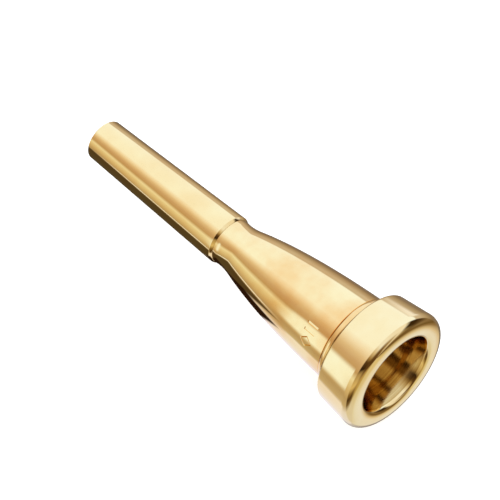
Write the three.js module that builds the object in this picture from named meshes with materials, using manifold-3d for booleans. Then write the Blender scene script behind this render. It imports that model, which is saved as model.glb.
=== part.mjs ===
// A trumpet mouthpiece turned from brass, in the screw-apart pattern: a rim, a cup and a
// backbore shank that share one bore. Each is a body of revolution with a screw thread on it.
//
// Frame: millimetres. The bore lies along +X. The open end of the shank, which goes into the
// instrument, is at x = 0, and the rim that meets the lips is at x = LENGTH. +Z is up.
//
// The sizes start from the bore. The walls, threads and outer faces are laid on it.

import * as THREE from 'three';
import Module from 'manifold-3d';
import { mergeVertices } from 'three/addons/utils/BufferGeometryUtils.js';

// ---- Driving sizes along the axis ----
const LENGTH = 87.0; // open end of the shank to the crest of the rim
const SHANK_LENGTH = 38.8; // open end to the crisp edge at the top of the shank
const EDGE_CHAMFER = 0.65; // bevel between that edge and the joint with the cup, along the axis
const NECK_LENGTH = 2.9; // from the joint with the shank to the waist
const RIM_HEIGHT = 9.8; // rear face of the rim ring to its crest
const BOWL_DEPTH = 12.0; // crest of the rim to the shoulder of the throat
const THROAT_LENGTH = 2.0; // the cylindrical part of the throat
const RIM_THREAD_LENGTH = 4.9; // engaged length of the spigot inside the rim
const STEM_THREAD_LENGTH = 7.8; // engaged length of the shank's spigot inside the cup

// ---- The bore, as diameters ----
const BOWL_D = 16.4; // just inside the bite
const THROAT_D = 3.66;
const JOINT_BORE_D = 5.4; // where the shank's spigot ends inside the cup
const EXIT_BORE_D = 8.5; // at the open end of the shank

// ---- Walls ----
const SHANK_END_WALL = 0.5;
const SHANK_TAPER = 0.0445; // growth of the diameter for each millimetre of length
const STEM_WALL = 1.15; // shank's spigot, bore to thread crest
const NECK_WALL = 1.1; // over the socket for that spigot
const NECK_DRAFT = 0.15; // how far the neck narrows towards the waist, on the radius
const WAIST_BLEND = 1.9; // the neck and the bell run into each other this far either side of it
const SPIGOT_WALL = 1.5; // the cup's spigot, bowl to thread crest
const BODY_STEP = 0.35; // the cup's outer wall stands this far proud of its spigot
const RIM_D = 27.0; // widest diameter of the ring, near the face
const RIM_FLARE = 0.75; // the ring's rear is smaller than its front by this, on the radius
const RIM_FRONT_SET = 2.3; // the widest diameter lies this far behind the crest
const BITE_SET = 0.8; // the bite's turn ends this far behind the crest
const BITE_EASE = 0.78; // and the bowl's mouth is wider there than at the bite, on the radius

// ---- Collar behind the rim ----
const COLLAR_LENGTH = 2.5; // fine line on the cup to the rear face of the rim
const BEAD_WIDTH = 1.7;
const BEAD_RISE = 0.45; // crest of the bead over the cup's wall
const LINE_DEPTH = 0.12; // the fine line cut in front of the bead

// ---- Screw threads, right-handed, 60 degree flanks ----
const THREAD_PITCH = 1.0;
const THREAD_DEPTH = 0.45;
const THREAD_CREST = 0.2; // width of the flat on the crest
const THREAD_RUNOUT = 0.3; // part of a turn over which a thread fades in and out

// ---- Clearances ----
const THREAD_CLEARANCE = 0.15; // crest of the screw to crest of the socket, on the radius
const END_CLEARANCE = 0.25; // a spigot's end or collar that doesn't seat
const EDGE_BREAK = 0.15; // sharp edges taken off

// ---- Resolution ----
const SIDES = 48;
const ARC_STEPS = 3;
const CURVE_STEPS = 8;
const BELL_STEPS = 12;

// ---- Planes along the axis, worked out ----
const X_STEM_SEAT = SHANK_LENGTH + EDGE_CHAMFER;
const X_STEM_END = X_STEM_SEAT + STEM_THREAD_LENGTH;
const X_SOCKET_END = X_STEM_END + END_CLEARANCE;
const X_WAIST = X_STEM_SEAT + NECK_LENGTH;
const X_RIM_REAR = LENGTH - RIM_HEIGHT;
const X_RIM_SEAT = X_RIM_REAR + RIM_THREAD_LENGTH;
const X_LINE = X_RIM_REAR - COLLAR_LENGTH;
const X_BOWL_BOTTOM = LENGTH - BOWL_DEPTH;
const X_THROAT_END = X_BOWL_BOTTOM - 1.0 - THROAT_LENGTH;

// ---- Radii, worked out from the bore outwards ----
const R_BITE = BOWL_D / 2;
const R_BOWL_SEAT = R_BITE - 0.25;
const R_SPIGOT = R_BOWL_SEAT + SPIGOT_WALL;
const R_SPIGOT_ROOT = R_SPIGOT - THREAD_DEPTH;
const R_RIM_BORE = R_SPIGOT + THREAD_CLEARANCE;
const R_BODY = R_SPIGOT + BODY_STEP;
const R_THROAT = THROAT_D / 2;
const R_JOINT = JOINT_BORE_D / 2;
const R_EXIT = EXIT_BORE_D / 2;
const R_STEM = R_JOINT + STEM_WALL;
const R_STEM_ROOT = R_STEM - THREAD_DEPTH;
const R_SOCKET = R_STEM + THREAD_CLEARANCE;
const R_WAIST = R_SOCKET + NECK_WALL;
const R_NECK = R_WAIST + NECK_DRAFT;
const R_SHANK_END = R_EXIT + SHANK_END_WALL;
const R_SHANK_TOP = R_SHANK_END + (SHANK_TAPER * SHANK_LENGTH) / 2;
const R_RIM = RIM_D / 2;
const R_RIM_REAR = R_RIM - RIM_FLARE;

const wasm = await Module();
wasm.setup();

// A closed geometry as a solid, and a solid as a geometry.
function solidOf(geometry) {
  const plain = geometry.clone();
  plain.deleteAttribute('normal');
  plain.deleteAttribute('uv');
  const merged = mergeVertices(plain, 1e-5);
  return new wasm.Manifold(new wasm.Mesh({
    numProp: 3,
    vertProperties: new Float32Array(merged.attributes.position.array),
    triVerts: new Uint32Array(merged.index.array),
  }));
}

function geometryOf(solid) {
  const { vertProperties, triVerts } = solid.getMesh();
  const geometry = new THREE.BufferGeometry();
  geometry.setAttribute('position', new THREE.BufferAttribute(vertProperties, 3));
  geometry.setIndex(new THREE.BufferAttribute(triVerts, 1));
  geometry.computeVertexNormals();
  return geometry;
}

// A profile is drawn as a path whose x is the radius and whose y is the place along the bore.
// Each curve in it is divided evenly, the path closes on itself, and it is turned about the bore.
function turned(path) {
  const points = path.getPoints(CURVE_STEPS);
  const clean = points.filter((p, i) => i === 0 || p.distanceTo(points[i - 1]) > 1e-6);
  return solidOf(new THREE.LatheGeometry(clean, SIDES));
}

// A ridge wound round the bore between two places along it. Its section is a trapezium: wide at
// the cylinder it stands on or is sunk from, narrow at the crest, THREAD_DEPTH further out.
// The foot goes a little under the cylinder, and at both ends the ridge sinks below it.
function threadRidge(rCylinder, xFrom, xTo) {
  const foot = 0.1;
  const flank = Math.tan(Math.PI / 6);
  const crestHalf = THREAD_CREST / 2;
  const footHalf = crestHalf + (THREAD_DEPTH + foot) * flank;
  const turns = (xTo - xFrom - 2 * footHalf) / THREAD_PITCH;
  const steps = Math.floor(turns * SIDES);
  const positions = [];
  for (let i = 0; i <= steps; i++) {
    const angle = (i / SIDES) * 2 * Math.PI;
    const x = xFrom + footHalf + (i / SIDES) * THREAD_PITCH;
    const toEnd = Math.min(i, steps - i) / (SIDES * THREAD_RUNOUT);
    const rise = (foot + THREAD_DEPTH) * Math.min(1, toEnd) + 0.02;
    const rFoot = rCylinder - foot - 0.02;
    const rTop = rFoot + rise;
    const section = [[rFoot, -footHalf], [rFoot, footHalf], [rTop, crestHalf], [rTop, -crestHalf]];
    for (const [r, dx] of section) positions.push(r * Math.sin(angle), x + dx, r * Math.cos(angle));
  }
  const index = [];
  for (let i = 0; i < steps; i++) {
    for (let k = 0; k < 4; k++) {
      const [a, b] = [4 * i + k, 4 * i + ((k + 1) % 4)];
      index.push(a, b, b + 4, a, b + 4, a + 4);
    }
  }
  const last = 4 * steps;
  index.push(0, 2, 1, 0, 3, 2, last, last + 1, last + 2, last, last + 2, last + 3);
  const ridge = new THREE.BufferGeometry();
  ridge.setAttribute('position', new THREE.Float32BufferAttribute(positions, 3));
  ridge.setIndex(index);
  return solidOf(ridge);
}

// Rounds a corner from where the path stands, past the corner, to the point (r, x).
function corner(path, rCorner, xCorner, r, x) {
  const from = path.currentPoint.clone();
  const curve = new THREE.QuadraticBezierCurve(
    from, new THREE.Vector2(rCorner, xCorner), new THREE.Vector2(r, x));
  for (const p of curve.getPoints(ARC_STEPS).slice(1)) path.lineTo(p.x, p.y);
}

// The long taper that goes into the instrument. Its spigot screws into the cup.
function shankProfile() {
  const path = new THREE.Path();
  path.moveTo(R_EXIT, 0);
  path.lineTo(R_SHANK_END - EDGE_BREAK, 0);
  corner(path, R_SHANK_END, 0, R_SHANK_END, EDGE_BREAK);
  path.lineTo(R_SHANK_TOP, SHANK_LENGTH);
  path.lineTo(R_NECK, X_STEM_SEAT);
  path.lineTo(R_STEM_ROOT, X_STEM_SEAT);
  path.lineTo(R_STEM_ROOT, X_STEM_END - 2 * EDGE_BREAK);
  path.lineTo(R_STEM_ROOT - 2 * EDGE_BREAK, X_STEM_END);
  path.lineTo(R_JOINT, X_STEM_END);
  path.lineTo(R_EXIT, 0);
  return path;
}

// Neck, bell-shaped wall, collar, threaded spigot, bowl, throat and the first of the backbore.
function cupProfile() {
  const bellRise = R_BODY - R_WAIST;
  const bellLength = X_LINE - X_WAIST;
  const beadStart = X_LINE + LINE_DEPTH;
  const beadEnd = beadStart + BEAD_WIDTH;
  const beadTop = R_BODY + BEAD_RISE;
  const path = new THREE.Path();
  path.moveTo(R_SOCKET, X_STEM_SEAT);
  path.lineTo(R_NECK - EDGE_BREAK / 2, X_STEM_SEAT);
  path.lineTo(R_NECK, X_STEM_SEAT + EDGE_BREAK / 2);
  const bell = new THREE.QuadraticBezierCurve(
    new THREE.Vector2(R_WAIST + 0.16, X_WAIST + 0.6),
    new THREE.Vector2(R_WAIST + 0.745 * bellRise, X_WAIST + 0.385 * bellLength),
    new THREE.Vector2(R_BODY, X_LINE));
  const wall = bell.getPoints(BELL_STEPS).filter((p) => p.y > X_WAIST + WAIST_BLEND);
  path.lineTo(R_WAIST + 0.06, X_WAIST - WAIST_BLEND);
  path.quadraticCurveTo(R_WAIST - 0.05, X_WAIST - 0.1, wall[0].x, wall[0].y);
  for (const p of wall.slice(1)) path.lineTo(p.x, p.y);
  path.lineTo(R_BODY - LINE_DEPTH, X_LINE + LINE_DEPTH / 2);
  path.lineTo(R_BODY, beadStart);
  path.bezierCurveTo(
    beadTop, beadStart + 0.1 * BEAD_WIDTH, beadTop + 0.1, beadEnd - 0.2 * BEAD_WIDTH, R_BODY, beadEnd);
  path.lineTo(R_BODY, X_RIM_REAR - END_CLEARANCE);
  path.lineTo(R_SPIGOT_ROOT, X_RIM_REAR - END_CLEARANCE);
  path.lineTo(R_SPIGOT_ROOT, X_RIM_SEAT - 2 * EDGE_BREAK);
  path.lineTo(R_SPIGOT_ROOT - 2 * EDGE_BREAK, X_RIM_SEAT);
  path.lineTo(R_BOWL_SEAT, X_RIM_SEAT);
  path.bezierCurveTo(
    0.93 * R_BOWL_SEAT, X_RIM_SEAT - 0.75 * (X_RIM_SEAT - X_BOWL_BOTTOM),
    0.55 * R_BOWL_SEAT, X_BOWL_BOTTOM + 0.9, R_THROAT + 0.5, X_BOWL_BOTTOM);
  corner(path, R_THROAT, X_BOWL_BOTTOM - 0.4, R_THROAT, X_BOWL_BOTTOM - 1.0);
  path.lineTo(R_THROAT, X_THROAT_END);
  path.lineTo(R_JOINT, X_SOCKET_END);
  path.lineTo(R_SOCKET, X_SOCKET_END);
  path.lineTo(R_SOCKET, X_STEM_SEAT);
  return path;
}

// The ring that meets the lips: flared outside, rounded face, a bite that runs into the bowl.
function rimProfile() {
  const xWide = LENGTH - RIM_FRONT_SET;
  const shoulder = 0.7;
  const rCrest = (R_BITE + R_RIM) / 2;
  const path = new THREE.Path();
  path.moveTo(R_RIM_BORE, X_RIM_REAR);
  path.lineTo(R_RIM_REAR - shoulder, X_RIM_REAR);
  corner(path, R_RIM_REAR, X_RIM_REAR, R_RIM_REAR, X_RIM_REAR + shoulder);
  path.lineTo(R_RIM, xWide);
  path.bezierCurveTo(R_RIM, LENGTH - 0.8, R_RIM - 0.95, LENGTH, rCrest, LENGTH);
  const rMouth = R_BITE + BITE_EASE;
  path.bezierCurveTo(rCrest - 1.1, LENGTH, rMouth + 0.22, LENGTH - 0.15, rMouth, LENGTH - BITE_SET);
  path.bezierCurveTo(
    rMouth - 0.3, LENGTH - BITE_SET - 0.9, R_BITE - 0.05, X_RIM_SEAT + 1.6, R_BOWL_SEAT, X_RIM_SEAT);
  path.lineTo(R_RIM_BORE, X_RIM_SEAT);
  path.lineTo(R_RIM_BORE, X_RIM_REAR);
  return path;
}

// A screw's ridge starts clear of its shoulder and ends clear of its tip. The thread it turns in
// starts one pitch before it, so the two are in step, and runs on to where the socket ends.
const STEM_SCREW = [X_STEM_SEAT + 2 * EDGE_BREAK, X_STEM_END - 2 * EDGE_BREAK];
const STEM_NUT = [STEM_SCREW[0] - THREAD_PITCH, X_SOCKET_END - EDGE_BREAK];
const RIM_SCREW = [X_RIM_REAR + 2 * EDGE_BREAK, X_RIM_SEAT - 2 * EDGE_BREAK];
const RIM_NUT = [RIM_SCREW[0] - THREAD_PITCH, X_RIM_SEAT - EDGE_BREAK];

const shank = turned(shankProfile()).add(threadRidge(R_STEM_ROOT, ...STEM_SCREW));
const cup = turned(cupProfile())
  .add(threadRidge(R_SPIGOT_ROOT, ...RIM_SCREW))
  .subtract(threadRidge(R_SOCKET, ...STEM_NUT));
const rim = turned(rimProfile()).subtract(threadRidge(R_RIM_BORE, ...RIM_NUT));

// Bright gold plate over brass, one finish to a piece.
function piece(name, solid, color, roughness) {
  const finish = new THREE.MeshStandardMaterial({ color, metalness: 1, roughness });
  const mesh = new THREE.Mesh(geometryOf(solid), finish);
  mesh.name = name;
  return mesh;
}

const mouthpiece = new THREE.Group();
mouthpiece.name = 'mouthpiece';
mouthpiece.add(piece('backbore_shank', shank, '#d4a850', 0.16));
mouthpiece.add(piece('cup', cup, '#dab158', 0.12));
mouthpiece.add(piece('rim', rim, '#e0ba66', 0.1));
// The profiles are turned about Y, so the whole is laid down with Y along +X.
mouthpiece.rotation.z = -Math.PI / 2;

export default mouthpiece;
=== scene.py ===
# %% [markdown]
# # A brass mouthpiece that unscrews into three
# A mouthpiece is turned from brass bar, screwed together from a rim, a cup and a backbore shank,
# then buffed and gold plated. The solid frame says where each piece begins and ends and how wide it
# is. This script turns the same three pieces again with rounder curves, smoother threads and a
# plated finish.

# %% Load the frame
import math

import bmesh
import bpy
from mathutils import Matrix, Vector


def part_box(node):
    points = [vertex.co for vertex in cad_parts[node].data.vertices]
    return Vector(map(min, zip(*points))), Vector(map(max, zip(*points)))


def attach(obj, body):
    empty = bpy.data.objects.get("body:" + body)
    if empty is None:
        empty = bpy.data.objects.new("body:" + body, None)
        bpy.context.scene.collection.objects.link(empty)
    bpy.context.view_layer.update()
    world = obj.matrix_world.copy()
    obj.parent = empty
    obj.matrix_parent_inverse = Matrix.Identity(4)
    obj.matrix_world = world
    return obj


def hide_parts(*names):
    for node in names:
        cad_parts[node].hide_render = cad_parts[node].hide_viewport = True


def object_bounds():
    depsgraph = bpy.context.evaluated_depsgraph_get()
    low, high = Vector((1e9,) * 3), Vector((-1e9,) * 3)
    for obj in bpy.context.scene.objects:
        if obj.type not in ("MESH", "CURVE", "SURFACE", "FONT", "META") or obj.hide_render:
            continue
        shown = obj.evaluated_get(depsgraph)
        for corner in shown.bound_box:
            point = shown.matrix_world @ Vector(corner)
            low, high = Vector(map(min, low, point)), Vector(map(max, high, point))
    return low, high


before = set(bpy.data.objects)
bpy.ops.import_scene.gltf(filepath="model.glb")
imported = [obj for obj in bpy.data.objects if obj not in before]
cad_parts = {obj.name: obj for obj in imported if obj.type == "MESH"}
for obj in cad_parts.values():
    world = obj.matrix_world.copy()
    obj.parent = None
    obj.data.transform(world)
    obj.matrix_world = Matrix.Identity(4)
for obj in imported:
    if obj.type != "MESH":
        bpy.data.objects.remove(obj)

FRAME_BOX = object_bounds()
print("nodes", sorted(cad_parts), "box", [[round(v, 5) for v in corner] for corner in FRAME_BOX])

# %% [markdown]
# ## Sizes
# The bore lies along +X, and the open end of the shank is at x = 0. Each node's box gives where a
# piece begins and ends and how wide it is, so these aren't typed in again. Blender counts in
# metres, but working in millimetres keeps the numbers readable, so one small function converts
# them at the last moment.

# %% Sizes from the frame
MM_PER_METRE = 1000.0


def mm(value):
    """A length in millimetres as metres, which is what Blender counts in."""
    return value / MM_PER_METRE


def box_mm(node):
    """(lowest x, highest x, outer radius) of a frame node, in millimetres."""
    low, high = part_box(node)
    return low[0] * MM_PER_METRE, high[0] * MM_PER_METRE, high[2] * MM_PER_METRE


SHANK_START, STEM_END, SHANK_TOP_R = box_mm("backbore_shank")
CUP_START, CUP_END, _ = box_mm("cup")
RIM_START, RIM_END, RIM_R = box_mm("rim")
print("shank to", STEM_END, "cup", CUP_START, CUP_END, "rim", RIM_START, RIM_END, "radius", RIM_R)

# %% [markdown]
# ## Camera
# A long lens far away keeps the near rim and the far end of the shank in proportion, as in
# catalogue work. The camera stands off the rim's end, in front and above, and looks down on the
# bore. Its place comes from two angles and a distance, so that each can be changed by itself.

# %% Camera
AZIMUTH, ELEVATION = math.radians(46.41), math.radians(49.85)
DISTANCE_MM, LENS_MM, SENSOR_MM = 426.6, 150.1, 36.0
AIM_RIGHT_MM, AIM_UP_MM = 1.187, 0.518
CLIP_METRES = (0.01, 20)

back = Vector((
    math.sin(AZIMUTH) * math.cos(ELEVATION),
    -math.cos(AZIMUTH) * math.cos(ELEVATION),
    math.sin(ELEVATION),
))
right = Vector((0, 0, 1)).cross(back).normalized()
up = back.cross(right)
middle = Vector((mm(SHANK_START + RIM_END) / 2, 0, 0))
aim = middle + right * mm(AIM_RIGHT_MM) + up * mm(AIM_UP_MM)

camera_data = bpy.data.cameras.new("camera")
camera_data.lens = LENS_MM
camera_data.sensor_width = SENSOR_MM
camera_data.clip_start, camera_data.clip_end = CLIP_METRES
camera = bpy.data.objects.new("camera", camera_data)
camera.location = aim + back * mm(DISTANCE_MM)
camera.rotation_euler = back.to_track_quat("Z", "Y").to_euler()
bpy.context.collection.objects.link(camera)
bpy.context.scene.camera = camera
print("camera at", [round(v, 4) for v in camera.location])

# %% [markdown]
# ## Turning on the lathe
# A lathe makes a shape that is the same all the way round, so half of its section says
# everything. The outline is drawn point by point above the bore, by extruding one vertex along
# it, and the Spin tool then carries it round. Curves are worked out as Bezier points, and small
# corners are rounded with a vertex bevel while the outline is still a wire. Scaling a cylinder's
# loops one by one could make it too, but an outline is easier to read and to change.

# %% Points of a curve
SIDES = 256
ROUND_STEPS = 3
NEAR_MM = 0.004
MERGE_MM = 0.001
SEED_MM = 0.1
SMOOTH_BELOW = math.radians(30)
print("each outline is carried round in", SIDES, "steps")


def curve(start, pulls, end, count):
    """The points after start, up to end, of a Bezier curve that leans towards its pull points."""
    points = []
    for i in range(1, count + 1):
        t = i / count
        row = [start, *pulls, end]
        while len(row) > 1:
            row = [(a[0] + (b[0] - a[0]) * t, a[1] + (b[1] - a[1]) * t) for a, b in zip(row, row[1:])]
        points.append(row[0])
    return points


# %% Pick vertices by place
def pick(test):
    """Selects the vertices whose (x, y, z) in millimetres pass the test, and counts them."""
    mesh = bmesh.from_edit_mesh(bpy.context.object.data)
    bpy.ops.mesh.select_mode(type="VERT")
    bpy.ops.mesh.select_all(action="DESELECT")
    for vertex in mesh.verts:
        vertex.select_set(test(vertex.co * MM_PER_METRE))
    mesh.select_flush_mode()
    bmesh.update_edit_mesh(bpy.context.object.data)
    return sum(vertex.select for vertex in mesh.verts)


def pick_near(x, r):
    """Selects the outline's vertex at x along the bore and r above it."""
    return pick(lambda at: abs(at.x - x) < NEAR_MM and abs(at.z - r) < NEAR_MM)


# %% Draw an outline
def draw_outline(name, outline):
    """A closed wire above the bore through a list of (x, r), left in edit mode."""
    x, r = outline[0]
    bpy.ops.object.select_all(action="DESELECT")
    bpy.ops.mesh.primitive_plane_add(size=mm(SEED_MM), location=(mm(x), 0, mm(r)))
    wire = bpy.context.object
    wire.name = wire.data.name = name
    bpy.ops.object.transform_apply(location=True, rotation=True, scale=True)
    bpy.ops.object.mode_set(mode="EDIT")
    bpy.ops.mesh.select_all(action="SELECT")
    bpy.ops.mesh.merge(type="CENTER")
    for (xa, ra), (xb, rb) in zip(outline, outline[1:] + outline[:1]):
        step = (mm(xb - xa), 0, mm(rb - ra))
        bpy.ops.mesh.extrude_vertices_move(TRANSFORM_OT_translate={"value": step})
    bpy.ops.mesh.select_all(action="SELECT")
    bpy.ops.mesh.remove_doubles(threshold=mm(MERGE_MM))
    return wire


# %% Turn an outline
def turn(name, outline, rounded):
    """Turns an outline into a solid. rounded lists ((x, r), how far the corner is cut back)."""
    piece = draw_outline(name, outline)
    for (x, r), cut in rounded:
        assert pick_near(x, r) == 1, (name, x, r)
        bpy.ops.mesh.bevel(offset=mm(cut), segments=ROUND_STEPS, affect="VERTICES")
    bpy.ops.mesh.select_all(action="SELECT")
    bpy.ops.mesh.spin(steps=SIDES, angle=2 * math.pi, center=(0, 0, 0), axis=(1, 0, 0))
    bpy.ops.mesh.select_all(action="SELECT")
    bpy.ops.mesh.remove_doubles(threshold=mm(MERGE_MM))
    bpy.ops.mesh.normals_make_consistent(inside=False)
    bpy.ops.object.mode_set(mode="OBJECT")
    print(name, "turned:", len(piece.data.polygons), "faces")
    return piece


# %% [markdown]
# ## Screw threads
# A thread is a ridge wound round the bore like a spring. Its section is a trapezium, drawn as a
# small outline, and the Screw modifier winds it: one turn moves it one pitch along. Its ends are
# sunk into the root so that it fades in. Joined to a spigot it is the screw, and cut from a
# socket it is the nut. Both are right-handed and in step, so the pieces could really turn. An
# array of rings would be simpler, but rings have no lead and show it at the ends.

# %% Wind a thread
PITCH, THREAD_DEPTH, CREST_WIDTH = 1.0, 0.45, 0.2
FOOT_DEPTH, EDGE_BREAK = 0.12, 0.15
FLANK = math.radians(30)
WIND_STEPS = 96
FADE_STEPS = 20
# What is left of the ridge's height at its very end, and how far from its crest's middle its
# corners are looked for.
LEFT_AT_END, CORNER_REACH = 0.02, 0.6 * CREST_WIDTH
FOOT_HALF = CREST_WIDTH / 2 + (THREAD_DEPTH + FOOT_DEPTH) * math.tan(FLANK)


def wind_thread(root_r, start, end):
    """A closed ridge on a cylinder of radius root_r, between two places along the bore."""
    foot, crest = root_r - FOOT_DEPTH, root_r + THREAD_DEPTH
    first = start + FOOT_HALF
    steps = int((end - start - 2 * FOOT_HALF) / PITCH * WIND_STEPS)
    ridge = draw_outline("thread_ridge", [
        (first - FOOT_HALF, foot), (first - CREST_WIDTH / 2, crest),
        (first + CREST_WIDTH / 2, crest), (first + FOOT_HALF, foot),
    ])
    bpy.ops.object.mode_set(mode="OBJECT")
    bpy.ops.object.modifier_add(type="SCREW")
    winding = ridge.modifiers[-1]
    winding.axis = "X"
    winding.angle = 2 * math.pi * steps / WIND_STEPS
    winding.screw_offset = mm(PITCH * steps / WIND_STEPS)
    winding.steps = winding.render_steps = steps + 1
    winding.use_smooth_shade = False
    bpy.ops.object.modifier_apply(modifier=winding.name)
    bpy.ops.object.mode_set(mode="EDIT")
    for i in range(FADE_STEPS):
        for step in (i, steps - i):
            angle = 2 * math.pi * step / WIND_STEPS
            x = first + PITCH * step / WIND_STEPS
            out = Vector((0, -math.sin(angle), math.cos(angle)))
            top = Vector((x, 0, 0)) + out * crest
            assert pick(lambda at: (at - top).length < CORNER_REACH) == 2, "not right-handed"
            sink = -out * mm((THREAD_DEPTH + FOOT_DEPTH - LEFT_AT_END) * (1 - i / FADE_STEPS))
            bpy.ops.transform.translate(value=sink)
    bpy.ops.mesh.select_all(action="SELECT")
    bpy.ops.mesh.fill_holes(sides=0)
    bpy.ops.mesh.normals_make_consistent(inside=False)
    bpy.ops.object.mode_set(mode="OBJECT")
    print("thread from", round(start, 2), "to", round(end, 2), "turns", round(steps / WIND_STEPS, 2))
    return ridge


# %% Join or cut
def combine(piece, tool, operation):
    """Joins a tool shape to the piece (UNION) or cuts it away (DIFFERENCE), and clears the tool."""
    bpy.ops.object.select_all(action="DESELECT")
    bpy.context.view_layer.objects.active = piece
    piece.select_set(True)
    bpy.ops.object.modifier_add(type="BOOLEAN")
    cut = piece.modifiers[-1]
    cut.operation, cut.solver, cut.object = operation, "EXACT", tool
    bpy.ops.object.modifier_apply(modifier=cut.name)
    bpy.data.objects.remove(tool)
    print(piece.name, operation.lower(), "leaves", len(piece.data.polygons), "faces")


# %% Smooth
def smooth(piece):
    """Shades curved walls smooth and keeps every edge sharper than SMOOTH_BELOW crisp."""
    bpy.ops.object.select_all(action="DESELECT")
    bpy.context.view_layer.objects.active = piece
    piece.select_set(True)
    bpy.ops.object.shade_smooth_by_angle(angle=SMOOTH_BELOW)


# %% [markdown]
# ## Backbore shank
# The long taper goes into the instrument's receiver. It widens evenly up to a crisp edge, where a
# short bevel drops to the joint with the cup. Past the joint stands a spigot with a fine thread.
# The bore opens towards the free end, where the wall is only half a millimetre thick. A cone with
# a hole would give the taper, but one turned outline gives the bevel and the spigot with it.

# %% Turn the shank
EXIT_R, SHANK_END_R = 4.25, 4.75
SHANK_LENGTH, NECK_R = 38.8, 5.25
STEM_ROOT_R, JOINT_BORE_R = 3.4, 2.7
BORE_ROUND, TOP_ROUND, JOINT_ROUND = 0.08, 0.06, 0.04

shank = turn("backbore_shank_turned", [
    (SHANK_START, EXIT_R),
    (SHANK_START, SHANK_END_R),
    (SHANK_LENGTH, SHANK_TOP_R),
    (CUP_START, NECK_R),
    (CUP_START, STEM_ROOT_R),
    (STEM_END - 2 * EDGE_BREAK, STEM_ROOT_R),
    (STEM_END, STEM_ROOT_R - 2 * EDGE_BREAK),
    (STEM_END, JOINT_BORE_R),
], [
    ((SHANK_START, SHANK_END_R), EDGE_BREAK),
    ((SHANK_START, EXIT_R), BORE_ROUND),
    ((SHANK_LENGTH, SHANK_TOP_R), TOP_ROUND),
    ((CUP_START, NECK_R), JOINT_ROUND),
    ((STEM_END, JOINT_BORE_R), BORE_ROUND),
])
STEM_THREAD = (CUP_START + 2 * EDGE_BREAK, STEM_END - 2 * EDGE_BREAK)
combine(shank, wind_thread(STEM_ROOT_R, *STEM_THREAD), "UNION")
smooth(shank)

# %% [markdown]
# ## Cup
# The cup piece is the middle of the mouthpiece: a short neck that narrows to a waist, a bell-shaped
# wall that grows to the collar, a fine line and a bead, then a threaded spigot that the rim screws
# on to. Inside are the bowl, the narrow throat and the start of the backbore. The bell is one long
# curve, because on the real wall the light slides from waist to collar without a break.

# %% The cup's sizes
END_CLEARANCE, THREAD_CLEARANCE = 0.25, 0.15
SOCKET_R = STEM_ROOT_R + THREAD_DEPTH + THREAD_CLEARANCE
SOCKET_END = STEM_END + END_CLEARANCE
WAIST_X, WAIST_R = CUP_START + 2.9, 5.1
WAIST_BLEND, NECK_LIFT = 1.9, 0.06
NECK_PULL = (WAIST_X - 0.1, WAIST_R - 0.05)
BODY_R, LINE_X, LINE_DEPTH = 9.8, RIM_START - 2.5, 0.12
BEAD_X, BEAD_WIDTH, BEAD_PULL_R = LINE_X + LINE_DEPTH, 1.7, 10.25
BEAD_END = BEAD_X + BEAD_WIDTH
COLLAR_END = RIM_START - END_CLEARANCE
SPIGOT_ROOT_R, BOWL_R = 9.0, 7.95
THROAT_R, BOWL_BOTTOM, THROAT_END = 1.83, RIM_END - 12.0, RIM_END - 15.0
THROAT_FLARE, FLARE_BEND, FLARE_LENGTH = 0.5, 0.4, 1.0
SOCKET_ROUND = COLLAR_ROUND = 0.1

# The points that each curve leans to, mostly as shares of its own length and rise.
BELL_LENGTH, BELL_RISE = LINE_X - WAIST_X, BODY_R - WAIST_R
BELL_LEAD = (WAIST_X + 0.6, WAIST_R + 0.16)
BELL_PULL = (WAIST_X + 0.385 * BELL_LENGTH, WAIST_R + 0.745 * BELL_RISE)
BEAD_PULLS = [(BEAD_X + 0.1 * BEAD_WIDTH, BEAD_PULL_R), (BEAD_END - 0.2 * BEAD_WIDTH, BEAD_PULL_R + 0.1)]
BOWL_PULLS = [(CUP_END - 0.75 * (CUP_END - BOWL_BOTTOM), 0.93 * BOWL_R), (BOWL_BOTTOM + 0.9, 0.55 * BOWL_R)]
print("waist at", round(WAIST_X, 2), "line at", round(LINE_X, 2), "bowl bottom at", round(BOWL_BOTTOM, 2))

# %% Turn the cup
whole_bell = curve(BELL_LEAD, [BELL_PULL], (LINE_X, BODY_R), count=48)
bell = [point for point in whole_bell if point[0] > WAIST_X + WAIST_BLEND]
neck_end = (WAIST_X - WAIST_BLEND, WAIST_R + NECK_LIFT)
neck = curve(neck_end, [NECK_PULL], bell[0], count=12)

cup = turn("cup_turned", [
    (CUP_START, SOCKET_R),
    (CUP_START, NECK_R),
    neck_end,
    *neck,
    *bell[1:],
    (LINE_X + LINE_DEPTH / 2, BODY_R - LINE_DEPTH),
    (BEAD_X, BODY_R),
    *curve((BEAD_X, BODY_R), BEAD_PULLS, (BEAD_END, BODY_R), count=16),
    (COLLAR_END, BODY_R),
    (COLLAR_END, SPIGOT_ROOT_R),
    (CUP_END - 2 * EDGE_BREAK, SPIGOT_ROOT_R),
    (CUP_END, SPIGOT_ROOT_R - 2 * EDGE_BREAK),
    (CUP_END, BOWL_R),
    *curve((CUP_END, BOWL_R), BOWL_PULLS, (BOWL_BOTTOM, THROAT_R + THROAT_FLARE), count=32),
    *curve((BOWL_BOTTOM, THROAT_R + THROAT_FLARE), [(BOWL_BOTTOM - FLARE_BEND, THROAT_R)],
           (BOWL_BOTTOM - FLARE_LENGTH, THROAT_R), count=8),
    (THROAT_END, THROAT_R),
    (SOCKET_END, JOINT_BORE_R),
    (SOCKET_END, SOCKET_R),
], [
    ((CUP_START, NECK_R), EDGE_BREAK / 2),
    ((CUP_START, SOCKET_R), SOCKET_ROUND),
    ((COLLAR_END, BODY_R), COLLAR_ROUND),
])
RIM_THREAD = (RIM_START + 2 * EDGE_BREAK, CUP_END - 2 * EDGE_BREAK)
combine(cup, wind_thread(SPIGOT_ROOT_R, *RIM_THREAD), "UNION")
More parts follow.
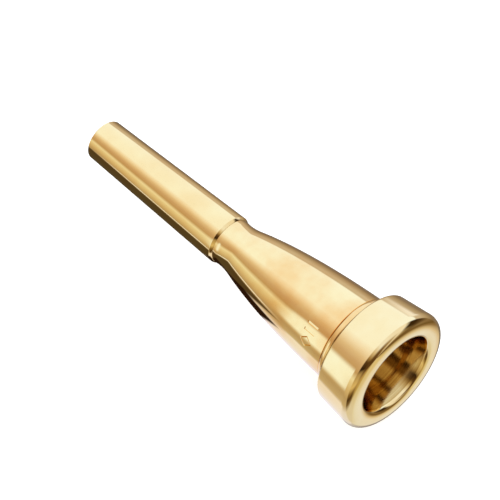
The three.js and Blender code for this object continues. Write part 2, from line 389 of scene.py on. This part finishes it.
STEM_NUT = (STEM_THREAD[0] - PITCH, SOCKET_END - EDGE_BREAK)
combine(cup, wind_thread(SOCKET_R, *STEM_NUT), "DIFFERENCE")

# %% [markdown]
# ## Size mark
# Makers cut a size mark into the cup's wall. Here it is a plain sign that names nobody: a lozenge
# and two short bars, each about 3 mm tall. The tools are a four-sided ring and two bars, tilted
# to lie along the wall, and a Boolean cuts them about a fifth of a millimetre deep. A bump in the
# material would be quicker, but it has no walls for the light to catch.

# %% Place of the size mark
MARK_X, MARK_HEIGHT, MARK_STROKE, MARK_DEPTH = 70.2, 2.9, 0.5, 0.2
LOZENGE_ROLL, BARS_ROLL = 69.0, 50.5
LOZENGE_WIDTH, LOZENGE_SINK = 0.72, MARK_DEPTH * 0.2
BAR_SPREAD, BAR_TALL = 0.75, MARK_DEPTH * 4

below = max(p for p in bell if p[0] <= MARK_X)
above = min(p for p in bell if p[0] > MARK_X)
wall_slope = (above[1] - below[1]) / (above[0] - below[0])
wall_r = below[1] + wall_slope * (MARK_X - below[0])


def mark_place(roll, aside, depth):
    """Place and turn of a tool on the wall: roll from the top towards -Y, in degrees."""
    around = Matrix.Rotation(math.radians(roll), 3, "X")
    lean = Matrix.Rotation(-math.atan(wall_slope), 3, "Y")
    spot = around @ Vector((0, aside, wall_r - depth))
    spot.x = MARK_X
    return spot / MM_PER_METRE, (around @ lean).to_euler()


# %% Cut the size mark
bpy.ops.object.select_all(action="DESELECT")
place, tilt = mark_place(LOZENGE_ROLL, 0, LOZENGE_SINK)
bpy.ops.mesh.primitive_torus_add(
    major_segments=4, minor_segments=4, major_radius=mm(MARK_HEIGHT / 2),
    minor_radius=mm(MARK_STROKE / 2), location=place, rotation=tilt)
mark_tools = [bpy.context.object]
bpy.ops.transform.resize(value=(1, LOZENGE_WIDTH, 1), orient_type="LOCAL")
for aside in (-BAR_SPREAD, BAR_SPREAD):
    place, tilt = mark_place(BARS_ROLL, aside, -MARK_DEPTH)
    bpy.ops.mesh.primitive_cube_add(size=mm(1), location=place, rotation=tilt,
                                    scale=(MARK_HEIGHT, MARK_STROKE, BAR_TALL))
    mark_tools.append(bpy.context.object)
for tool in mark_tools:
    bpy.ops.object.select_all(action="DESELECT")
    bpy.context.view_layer.objects.active = tool
    tool.select_set(True)
    bpy.ops.object.transform_apply(location=True, rotation=True, scale=True)
    combine(cup, tool, "DIFFERENCE")
smooth(cup)
print("wall at the mark: radius", round(wall_r, 3), "slope", round(wall_slope, 4))

# %% [markdown]
# ## Rim
# The ring meets the lips. Its outside flares a little towards the face, the face is broad and
# gently rounded, and the bite is the tight turn where it drops into the bowl. It is the piece that
# the eye reads first, so its curves get the most points. A bevelled tube would have an even round,
# but the real face is fuller outside than inside, which three curves with pull points can say.

# %% The rim's sizes
RIM_REAR_R, RIM_WIDE_X, RIM_SHOULDER = 12.75, RIM_END - 2.3, 0.7
BITE_R, BITE_X = 8.2, RIM_END - 0.8
MOUTH_R = BITE_R + 0.78
CREST_R = (BITE_R + RIM_R) / 2
RIM_BORE_R = SPIGOT_ROOT_R + THREAD_DEPTH + THREAD_CLEARANCE
RIM_BORE_ROUND = 0.1

# The pulls of the three curves: edge to crest, crest to bite, and bite to the bowl.
EDGE_PULLS = [(RIM_END - 0.8, RIM_R), (RIM_END, RIM_R - 0.95)]
FACE_PULLS = [(RIM_END, CREST_R - 1.1), (RIM_END - 0.15, MOUTH_R + 0.22)]
MOUTH_PULLS = [(BITE_X - 0.9, MOUTH_R - 0.3), (CUP_END + 1.6, BITE_R - 0.05)]
print("crest at radius", round(CREST_R, 2), "mouth at radius", round(MOUTH_R, 2))

# %% Turn the rim
rim = turn("rim_turned", [
    (RIM_START, RIM_BORE_R),
    (RIM_START, RIM_REAR_R - RIM_SHOULDER),
    *curve((RIM_START, RIM_REAR_R - RIM_SHOULDER), [(RIM_START, RIM_REAR_R)],
           (RIM_START + RIM_SHOULDER, RIM_REAR_R), count=8),
    (RIM_WIDE_X, RIM_R),
    *curve((RIM_WIDE_X, RIM_R), EDGE_PULLS, (RIM_END, CREST_R), count=32),
    *curve((RIM_END, CREST_R), FACE_PULLS, (BITE_X, MOUTH_R), count=32),
    *curve((BITE_X, MOUTH_R), MOUTH_PULLS, (CUP_END, BOWL_R), count=16),
    (CUP_END, RIM_BORE_R),
], [
    ((RIM_START, RIM_BORE_R), RIM_BORE_ROUND),
])
RIM_NUT = (RIM_THREAD[0] - PITCH, CUP_END - EDGE_BREAK)
combine(rim, wind_thread(RIM_BORE_R, *RIM_NUT), "DIFFERENCE")
smooth(rim)

# %% [markdown]
# ## Materials by nodes
# A finish is a small tree of nodes that ends in one shader. Colours are picked as sRGB hex values,
# which one function turns to the linear values that light adds in, and one function adds a node
# with its settings and its links, so that each tree below reads from top to bottom.

# %% Helpers for materials
def linear(hex_colour):
    """An sRGB hex colour as the linear red, green, blue and alpha."""
    values = [int(hex_colour[i:i + 2], 16) / 255 for i in (1, 3, 5)]
    return [v / 12.92 if v <= 0.04045 else ((v + 0.055) / 1.055) ** 2.4 for v in values] + [1.0]


def add_node(tree, kind, settings=None, inputs=None):
    """Adds a node, sets its properties, and sets or links its inputs by name or number."""
    new = tree.nodes.new(kind)
    for name, value in (settings or {}).items():
        setattr(new, name, value)
    for name, value in (inputs or {}).items():
        if isinstance(value, bpy.types.NodeSocket):
            tree.links.new(value, new.inputs[name])
        else:
            new.inputs[name].default_value = value
    return new


def new_material(name):
    """An empty material, and its tree of nodes."""
    material = bpy.data.materials.new(name)
    material.use_nodes = True
    material.node_tree.nodes.clear()
    return material, material.node_tree


print("mid grey #808080 is", [round(v, 3) for v in linear("#808080")[:3]], "in linear light")

# %% [markdown]
# ## Buffed gold plate
# Gold is plated a few thousandths of a millimetre thick over polished brass, so it copies every
# mark that the buffing wheel left. A metal has no colour but its reflections: the base colour tints
# them, roughness blurs them, and a very faint bump breaks their edges. An even tint would look like
# paint, so a cloud of noise shifts the colour and the gloss a little.

# %% Buffed gold plate
# The clouds are about 9 mm wide, a third of the rim.
CLOUDS_PER_METRE = 110.0
# Real buffing lines are about 0.01 mm apart. They are drawn 0.25 mm apart so that they show.
LINES_PER_METRE = (4000.0, 180.0, 180.0)


def buffed_gold_plate(name, colour, blush, roughness):
    """Bright plate: clouds shift its colour and its gloss a little, and hair lines from the buffing
    wheel run round the bore and just break the edges of what it reflects."""
    material, tree = new_material(name)
    place = add_node(tree, "ShaderNodeTexCoord").outputs["Object"]
    cloud = add_node(tree, "ShaderNodeTexNoise", inputs={
        "Vector": place, "Scale": CLOUDS_PER_METRE, "Detail": 3.0, "Roughness": 0.6}).outputs["Fac"]
    tint = add_node(tree, "ShaderNodeMix", {"data_type": "RGBA"}, {
        "Factor": add_node(tree, "ShaderNodeMapRange", inputs={
            "Value": cloud, "From Min": 0.35, "From Max": 0.7}).outputs["Result"],
        6: linear(colour), 7: linear(blush)}).outputs[2]
    stretched = add_node(tree, "ShaderNodeMapping", inputs={
        "Vector": place, "Scale": LINES_PER_METRE}).outputs["Vector"]
    lines = add_node(tree, "ShaderNodeTexNoise", inputs={
        "Vector": stretched, "Scale": 1.0, "Detail": 2.0}).outputs["Fac"]
    gloss = add_node(tree, "ShaderNodeMapRange", inputs={
        "Value": cloud, "From Min": 0.3, "From Max": 0.75,
        "To Min": roughness * 0.8, "To Max": roughness * 1.35}).outputs["Result"]
    bump = add_node(tree, "ShaderNodeBump", inputs={
        "Strength": 0.05, "Distance": mm(0.004), "Height": lines}).outputs["Normal"]
    shader = add_node(tree, "ShaderNodeBsdfPrincipled", inputs={
        "Base Color": tint, "Metallic": 1.0, "Roughness": gloss, "Normal": bump})
    add_node(tree, "ShaderNodeOutputMaterial", inputs={"Surface": shader.outputs["BSDF"]})
    print("finish", name, colour, "to", blush)
    return material


# %% [markdown]
# ## Turned plate in the bore
# The inside is plated too, but no wheel reaches it, so the cutter's rings stay. They are circles
# round the bore, and place plus radius makes a value that changes steadily down the bowl. A wave
# texture would space them evenly. Noise along that one value varies them as a real cutter does.

# %% Turned plate
def turned_plate(name, colour, deep, roughness, ring_mm, height):
    """Plate over cutter rings, each ring_mm wide: fine circles that draw highlights out sideways.
    Even a reflection seen at a shallow angle is tinted, because the rings' walls send it twice."""
    material, tree = new_material(name)
    place = add_node(tree, "ShaderNodeTexCoord").outputs["Object"]
    parts = add_node(tree, "ShaderNodeSeparateXYZ", inputs={0: place}).outputs
    across = add_node(tree, "ShaderNodeCombineXYZ", inputs={"Y": parts["Y"], "Z": parts["Z"]}).outputs[0]
    radius = add_node(tree, "ShaderNodeVectorMath", {"operation": "LENGTH"}, {0: across}).outputs["Value"]
    along = add_node(tree, "ShaderNodeMath", {"operation": "ADD"}, {0: parts["X"], 1: radius}).outputs[0]
    rings = add_node(tree, "ShaderNodeTexNoise", {"noise_dimensions": "1D"}, {
        "W": along, "Scale": MM_PER_METRE / ring_mm, "Detail": 2.0}).outputs["Fac"]
    tint = add_node(tree, "ShaderNodeMix", {"data_type": "RGBA"}, {
        "Factor": rings, 6: linear(colour), 7: linear(deep)}).outputs[2]
    bump = add_node(tree, "ShaderNodeBump", inputs={
        "Strength": 0.6, "Distance": mm(height), "Height": rings}).outputs["Normal"]
    around = add_node(tree, "ShaderNodeTangent", {"direction_type": "RADIAL", "axis": "X"}).outputs[0]
    shader = add_node(tree, "ShaderNodeBsdfPrincipled", inputs={
        "Base Color": tint, "Metallic": 1.0, "Roughness": roughness, "Anisotropic": 0.35,
        "Specular Tint": linear(deep), "Normal": bump, "Tangent": around})
    add_node(tree, "ShaderNodeOutputMaterial", inputs={"Surface": shader.outputs["BSDF"]})
    print("finish", name, colour, "to", deep)
    return material


# %% [markdown]
# ## Which face has which finish
# The outside of each piece is buffed, the bowl and the bore keep their rings, the threads are
# bare cut brass, duller than plate, and the groove behind the rim is dark brown and dull: painted
# shade, so that the joint reads as a dark line. A face's place along the bore and its radius say
# what it is, so the faces are picked by those two and given their finish as slots of one mesh,
# with no split between them.

# %% The finishes
PLATE_COLOUR = "#F9DA97"
SHANK_PLATE = buffed_gold_plate("buffed_gold_plate_shank", PLATE_COLOUR, "#F6D08A", 0.06)
CUP_PLATE = buffed_gold_plate("buffed_gold_plate_cup", PLATE_COLOUR, "#F4C278", 0.055)
RIM_PLATE = buffed_gold_plate("buffed_gold_plate_rim", "#F9DC9E", "#F7D490", 0.04)
# A cutter's rings are about 0.1 mm apart. In the bowl they are drawn 0.35 mm apart so that they
# show. Cut brass is pale and slightly rough. The groove's dark brown, dull finish is painted shade.
BORE_PLATE = turned_plate("turned_gold_plate_bore", "#E8C886", "#B88E48", 0.12, 0.35, 0.004)
CUT_BRASS = turned_plate("cut_brass_thread", "#E8C87E", "#D9B060", 0.22, 0.12, 0.004)
GROOVE_SHADE_BRASS = turned_plate("painted_shade_brass_groove", "#7A5424", "#4A2E10", 0.38, 0.15, 0.003)

# %% Give a piece its finishes
SLACK = 0.01
PLATED_LIP = 0.05
THREAD_EDGE = THREAD_DEPTH + 2 * SLACK
GROOVE_REACH = 0.6


def give(piece, finishes):
    """Gives a piece its finishes. Each is (material, test of a face's middle (x, r) in millimetres),
    and the first has no test, because it covers the piece before the others are laid on."""
    piece.data.materials.clear()
    bpy.ops.object.select_all(action="DESELECT")
    bpy.context.view_layer.objects.active = piece
    piece.select_set(True)
    for index, (material, test) in enumerate(finishes):
        piece.data.materials.append(material)
        if test is None:
            continue
        bpy.ops.object.mode_set(mode="EDIT")
        mesh = bmesh.from_edit_mesh(piece.data)
        bpy.ops.mesh.select_mode(type="FACE")
        bpy.ops.mesh.select_all(action="DESELECT")
        for face in mesh.faces:
            at = face.calc_center_median() * MM_PER_METRE
            face.select_set(test(at.x, math.hypot(at.y, at.z)))
        bmesh.update_edit_mesh(piece.data)
        piece.active_material_index = index
        bpy.ops.object.material_slot_assign()
        bpy.ops.object.mode_set(mode="OBJECT")
    shares = [sum(p.material_index == i for p in piece.data.polygons) for i in range(len(finishes))]
    print(piece.name, "faces for each finish:", shares)


# %% Tests of a face's place
def in_shank_bore(x, r):
    """The backbore's wall, which narrows evenly from the open end to the joint."""
    return x > PLATED_LIP and r < EXIT_R + 2 * SLACK - (EXIT_R - JOINT_BORE_R) * x / STEM_END


def in_cup_bore(x, r):
    """The bowl, the throat and the start of the backbore."""
    return x > SOCKET_END and r < BOWL_R - SLACK and (x > BOWL_BOTTOM or r < JOINT_BORE_R)


def in_cup_threads(x, r):
    """The socket for the shank, or the spigot for the rim."""
    in_socket = x <= SOCKET_END + SLACK and r < SOCKET_R + THREAD_EDGE
    return in_socket or (x > COLLAR_END - SLACK and r > BOWL_R)


def in_rim_threads(x, r):
    """The socket for the cup, with the flat that it screws up against."""
    return x < CUP_END + SLACK and BOWL_R + PLATED_LIP < r < RIM_BORE_R + THREAD_EDGE


def in_groove(x, r):
    """The step between the bead and the rim, on the cup."""
    return BEAD_END - 3 * SLACK < x < COLLAR_END + SLACK and r > SPIGOT_ROOT_R


# %% Lay the finishes on
# The groove's faces on the cup and on the rim get the dark brown of painted shade.
give(shank, [
    (SHANK_PLATE, None),
    (BORE_PLATE, in_shank_bore),
    (CUT_BRASS, lambda x, r: x >= CUP_START - SLACK and r > JOINT_BORE_R + 2 * PLATED_LIP),
])
give(cup, [
    (CUP_PLATE, None),
    (BORE_PLATE, in_cup_bore),
    (CUT_BRASS, in_cup_threads),
    (GROOVE_SHADE_BRASS, in_groove),
])
give(rim, [
    (RIM_PLATE, None),
    (BORE_PLATE, lambda x, r: x < BITE_X and r < MOUTH_R - PLATED_LIP),
    (CUT_BRASS, in_rim_threads),
    (GROOVE_SHADE_BRASS, lambda x, r: x < RIM_START + SLACK and r < BODY_R + GROOVE_REACH),
])

# %% [markdown]
# ## Bodies
# On the real thing each piece moves as one when it is unscrewed. Each stands for its frame node and
# rides on that node's body, so the joints carry it. Parenting by hand would tie it to rest only.

# %% Ride and replace
for piece, node, body in ((shank, "backbore_shank", "shank"), (cup, "cup", "cup"), (rim, "rim", "rim")):
    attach(piece, body)
    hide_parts(node)
    print(piece.name, "rides on", body, "and replaces", node)

# %% [markdown]
# ## Floor
# Small bright things are shown over a white light table, which has no edge in view and
# leaves only a soft shadow. A plain lit plane does it. The metal doesn't see the plane, because
# a white table so close would wash out the dark band under the shank.

# %% Floor
FLOOR_SIZE = 6.0
bpy.ops.object.select_all(action="DESELECT")
bpy.ops.mesh.primitive_plane_add(size=FLOOR_SIZE, location=(0, 0, FRAME_BOX[0][2]))
floor = bpy.context.object
floor.name = "floor"
# Opal acrylic glows evenly from below, so its faint clouds, 3 cm wide, hardly show.
floor_material, tree = new_material("opal_acrylic_table")
grain = add_node(tree, "ShaderNodeTexNoise", inputs={
    "Vector": add_node(tree, "ShaderNodeTexCoord").outputs["Object"], "Scale": 30.0})
pale = add_node(tree, "ShaderNodeMix", {"data_type": "RGBA"}, {
    "Factor": grain.outputs["Fac"], 6: linear("#F7F7F6"), 7: linear("#FAFAF9")}).outputs[2]
shader = add_node(tree, "ShaderNodeBsdfPrincipled", inputs={
    "Base Color": pale, "Roughness": 0.9, "Emission Color": (1, 1, 1, 1), "Emission Strength": 0.55})
add_node(tree, "ShaderNodeOutputMaterial", inputs={"Surface": shader.outputs["BSDF"]})
floor.data.materials.append(floor_material)
floor.visible_glossy = False
print("floor at z", round(FRAME_BOX[0][2], 4), "size", FLOOR_SIZE)

# %% [markdown]
# ## Room
# Polished metal shows the room and little else, so the room is built for its reflection. It is a
# light tent bent round the bore, and what the metal reflects depends first on the roll: how far a
# direction leans from straight up (0 degrees) towards the front, -Y (90), or the back, +Y (-90).
# A ramp gives each roll its colour: a broad cream cloth overhead with a crisp rear edge and a soft
# front edge, warm brown walls, a narrow gold band in front, and a pale table. Towards the
# mouth end another ramp takes over, with dark gaps on both sides of the cloth, which draw the dark
# line along the rim's front edge. A third is the wall past the mouth, which the face and the bowl
# show, and a dark cloth hangs past the shank's end. Real lamps would need a soft box for each band.

# %% The room's colours
ROOM_STRENGTH = 2.4
TENT = (
    (-180, "#D0BC90"), (-152, "#7C6848"), (-140, "#7E6844"), (-114, "#8A6C40"), (-100, "#B0905A"),
    (-84, "#CDB07D"), (-74, "#CDB07D"), (-71, "#FDF3C8"), (18, "#FDF0C0"), (31, "#F4D9A0"),
    (43, "#E0BA7A"), (55, "#CDA265"), (68, "#C39857"), (80, "#F0DA98"), (88, "#E6CA84"),
    (104, "#D4B06A"), (118, "#BA985C"), (134, "#C6A668"), (150, "#E8D4AA"), (170, "#E8D4AA"),
)
MOUTH_END = (
    (-180, "#E0C88C"), (-166, "#E6D29C"), (-150, "#EAD6A2"), (-142, "#DAB876"), (-130, "#98743C"),
    (-120, "#70501E"), (-105, "#8A6A38"), (-90, "#5A3E1A"), (-76, "#3A2408"), (-62, "#3A2408"),
    (-50, "#F4DCA4"), (-30, "#F0DAA4"), (8, "#F4E4B4"), (24, "#D8B878"), (36, "#A07838"),
    (44, "#5A3A14"), (60, "#2E1A06"), (70, "#B08A48"), (96, "#DCB664"), (110, "#8A6428"),
    (122, "#4A3010"), (134, "#7A5A28"), (148, "#DCC48C"),
)
MOUTH_END_X = (0.08, 0.22)
END_WALL = (
    (-180, "#DCC07C"), (-146, "#DCBC70"), (-124, "#7A5620"), (-100, "#6A4A20"), (-70, "#A88648"),
    (-52, "#F0D8A0"), (-34, "#B89458"), (0, "#7A5624"), (40, "#5E3C12"), (70, "#5A3A14"),
    (100, "#B48C46"), (138, "#C4A04C"), (160, "#D8BC78"),
)
END_WALL_X = (0.6, 0.88)
SHANK_END_X = (-0.89, -0.97)
SHANK_END_COLOUR = "#6A4418"
print("stops round the bore:", len(TENT), "at the mouth end:", len(MOUTH_END), "on its wall:", len(END_WALL))

# %% [markdown]
# ## Tent round the bore
# The world's direction gives the roll by an arc tangent, and the roll picks the colour on each
# ramp. How far the direction leans along the bore blends one ramp into the next. Each colour is
# given as the plate should show it, and is divided by the plate's own colour first. The camera and
# the floor see plain white, so the coloured room stays in the metal.


# %% Colour of the room
def room_colour(shown):
    """The light that makes the plate show the given hex colour: shown divided by the plate's own."""
    return [a / b / ROOM_STRENGTH for a, b in zip(linear(shown), linear(PLATE_COLOUR))][:3] + [1.0]


# %% Room
world = bpy.data.worlds.new("light_tent")
bpy.context.scene.world = world
world.use_nodes = True
tree = world.node_tree
tree.nodes.clear()
parts = add_node(tree, "ShaderNodeSeparateXYZ", inputs={
    0: add_node(tree, "ShaderNodeTexCoord").outputs["Generated"]}).outputs
to_front = add_node(tree, "ShaderNodeMath", {"operation": "MULTIPLY"}, {0: parts["Y"], 1: -1.0})
roll = add_node(tree, "ShaderNodeMath", {"operation": "ARCTAN2"}, {0: to_front.outputs[0], 1: parts["Z"]})
roll_place = add_node(tree, "ShaderNodeMapRange", inputs={
    "Value": roll.outputs[0], "From Min": -math.pi, "From Max": math.pi}).outputs["Result"]
ramps = []
for stops in (TENT, MOUTH_END, END_WALL):
    ramp = add_node(tree, "ShaderNodeValToRGB", inputs={"Fac": roll_place})
    band = ramp.color_ramp
    while len(band.elements) > 1:
        band.elements.remove(band.elements[0])
    for i, (degrees, colour) in enumerate(stops):
        at = (degrees + 180) / 360
        stop = band.elements[0] if i == 0 else band.elements.new(at)
        stop.position, stop.color = at, room_colour(colour)
    ramps.append(ramp.outputs["Color"])
tent, at_mouth_end, on_end_wall = ramps
past_shank = room_colour(SHANK_END_COLOUR)
for lean, colour in ((MOUTH_END_X, at_mouth_end), (END_WALL_X, on_end_wall), (SHANK_END_X, past_shank)):
    share = add_node(tree, "ShaderNodeMapRange", {"interpolation_type": "SMOOTHSTEP"}, {
        "Value": parts["X"], "From Min": lean[0], "From Max": lean[1]}).outputs["Result"]
    tent = add_node(tree, "ShaderNodeMix", {"data_type": "RGBA"}, {
        "Factor": share, 6: tent, 7: colour}).outputs[2]
in_metal = add_node(tree, "ShaderNodeBackground", inputs={"Color": tent, "Strength": ROOM_STRENGTH})
elsewhere = add_node(tree, "ShaderNodeBackground", inputs={"Color": (1, 1, 1, 1), "Strength": 1.0})
both = add_node(tree, "ShaderNodeMixShader", inputs={
    0: add_node(tree, "ShaderNodeLightPath").outputs["Is Glossy Ray"],
    1: elsewhere.outputs[0], 2: in_metal.outputs[0]})
add_node(tree, "ShaderNodeOutputWorld", inputs={"Surface": both.outputs[0]})
print("room:", len(tree.nodes), "nodes, strength", ROOM_STRENGTH)

# %% [markdown]
# ## Cards
# The tent is endlessly far, so its bands run straight along the shank and end nowhere. Things near
# the metal end their reflections where they end themselves: a dark sheet under the shank with a
# thin bright strip along its edge, a darker one near the joint with the cup, a pale cloth under the
# cup, and a card behind and one in front. The two dark sheets are painted shade: they put the
# shadow under the piece into its reflection, since the metal doesn't see the floor. Each is a flat
# plane that glows, because a lit one would have to be lit as well, and a soft border keeps its
# reflection from looking cut out.


# %% Make a card
def card(name, low, high, shown, soft):
    """A flat card between two corners, in millimetres, that glows so that the plate shows the given
    hex colour. Only reflections show it. Its border fades to see-through over soft, a share of
    half the width."""
    low, high = Vector(low), Vector(high)
    size = high - low
    upright = size.y == 0
    bpy.ops.object.select_all(action="DESELECT")
    bpy.ops.mesh.primitive_plane_add(size=1, location=(low + high) / 2 / MM_PER_METRE,
                                     rotation=(math.pi / 2 if upright else 0, 0, 0))
    panel = bpy.context.object
    panel.name = name
    panel.scale = (mm(size.x), mm(size.z if upright else size.y), 1)
    material, tree = new_material(name + "_cloth")
    parts = add_node(tree, "ShaderNodeSeparateXYZ", inputs={
        0: add_node(tree, "ShaderNodeTexCoord").outputs["Object"]}).outputs
    masks = []
    for axis in ("X", "Y"):
        away = add_node(tree, "ShaderNodeMath", {"operation": "ABSOLUTE"}, {0: parts[axis]}).outputs[0]
        masks.append(add_node(tree, "ShaderNodeMapRange", {"interpolation_type": "SMOOTHSTEP"}, {
            "Value": away, "From Min": 0.5 * (1 - soft), "From Max": 0.5,
            "To Min": 1.0, "To Max": 0.0}).outputs["Result"])
    solid = add_node(tree, "ShaderNodeMath", {"operation": "MULTIPLY"}, {0: masks[0], 1: masks[1]})
    glow = add_node(tree, "ShaderNodeEmission", inputs={
        "Color": room_colour(shown), "Strength": ROOM_STRENGTH})
    clear = add_node(tree, "ShaderNodeBsdfTransparent")
    shader = add_node(tree, "ShaderNodeMixShader", inputs={
        0: solid.outputs[0], 1: clear.outputs[0], 2: glow.outputs[0]})
    add_node(tree, "ShaderNodeOutputMaterial", inputs={"Surface": shader.outputs[0]})
    panel.data.materials.append(material)
    panel.visible_camera = panel.visible_diffuse = panel.visible_shadow = False
    print(name, "glows", shown)


# %% Cards
# Painted shade: the two dark sheets stand for the shadow under the shank and near the joint.
card("painted_shade_ground", (-60, -52, -30), (30, 44, -30), "#523E1C", 0.14)
card("bright_edge", (-60, -61, -30), (24, -53, -30), "#FFF4CC", 0.5)
card("painted_shade_ground_end", (22, -26, -29.8), (43, 8, -29.8), "#2A1606", 0.25)
card("rear_card", (16, 100, 6), (70, 100, 52), "#F6E2B4", 0.8)
card("pale_ground", (36, -44, -30), (78, 14, -30), "#F2DCAE", 0.3)
card("front_card", (-14, -100, -36), (48, -100, 56), "#FCF2C0", 0.5)

# %% [markdown]
# ## View
# The turned pieces have to stay inside the box of the solids that they stand for. The Standard
# view shows the picked colours as they are.

# %% View transform
bpy.context.scene.view_settings.view_transform = "Standard"
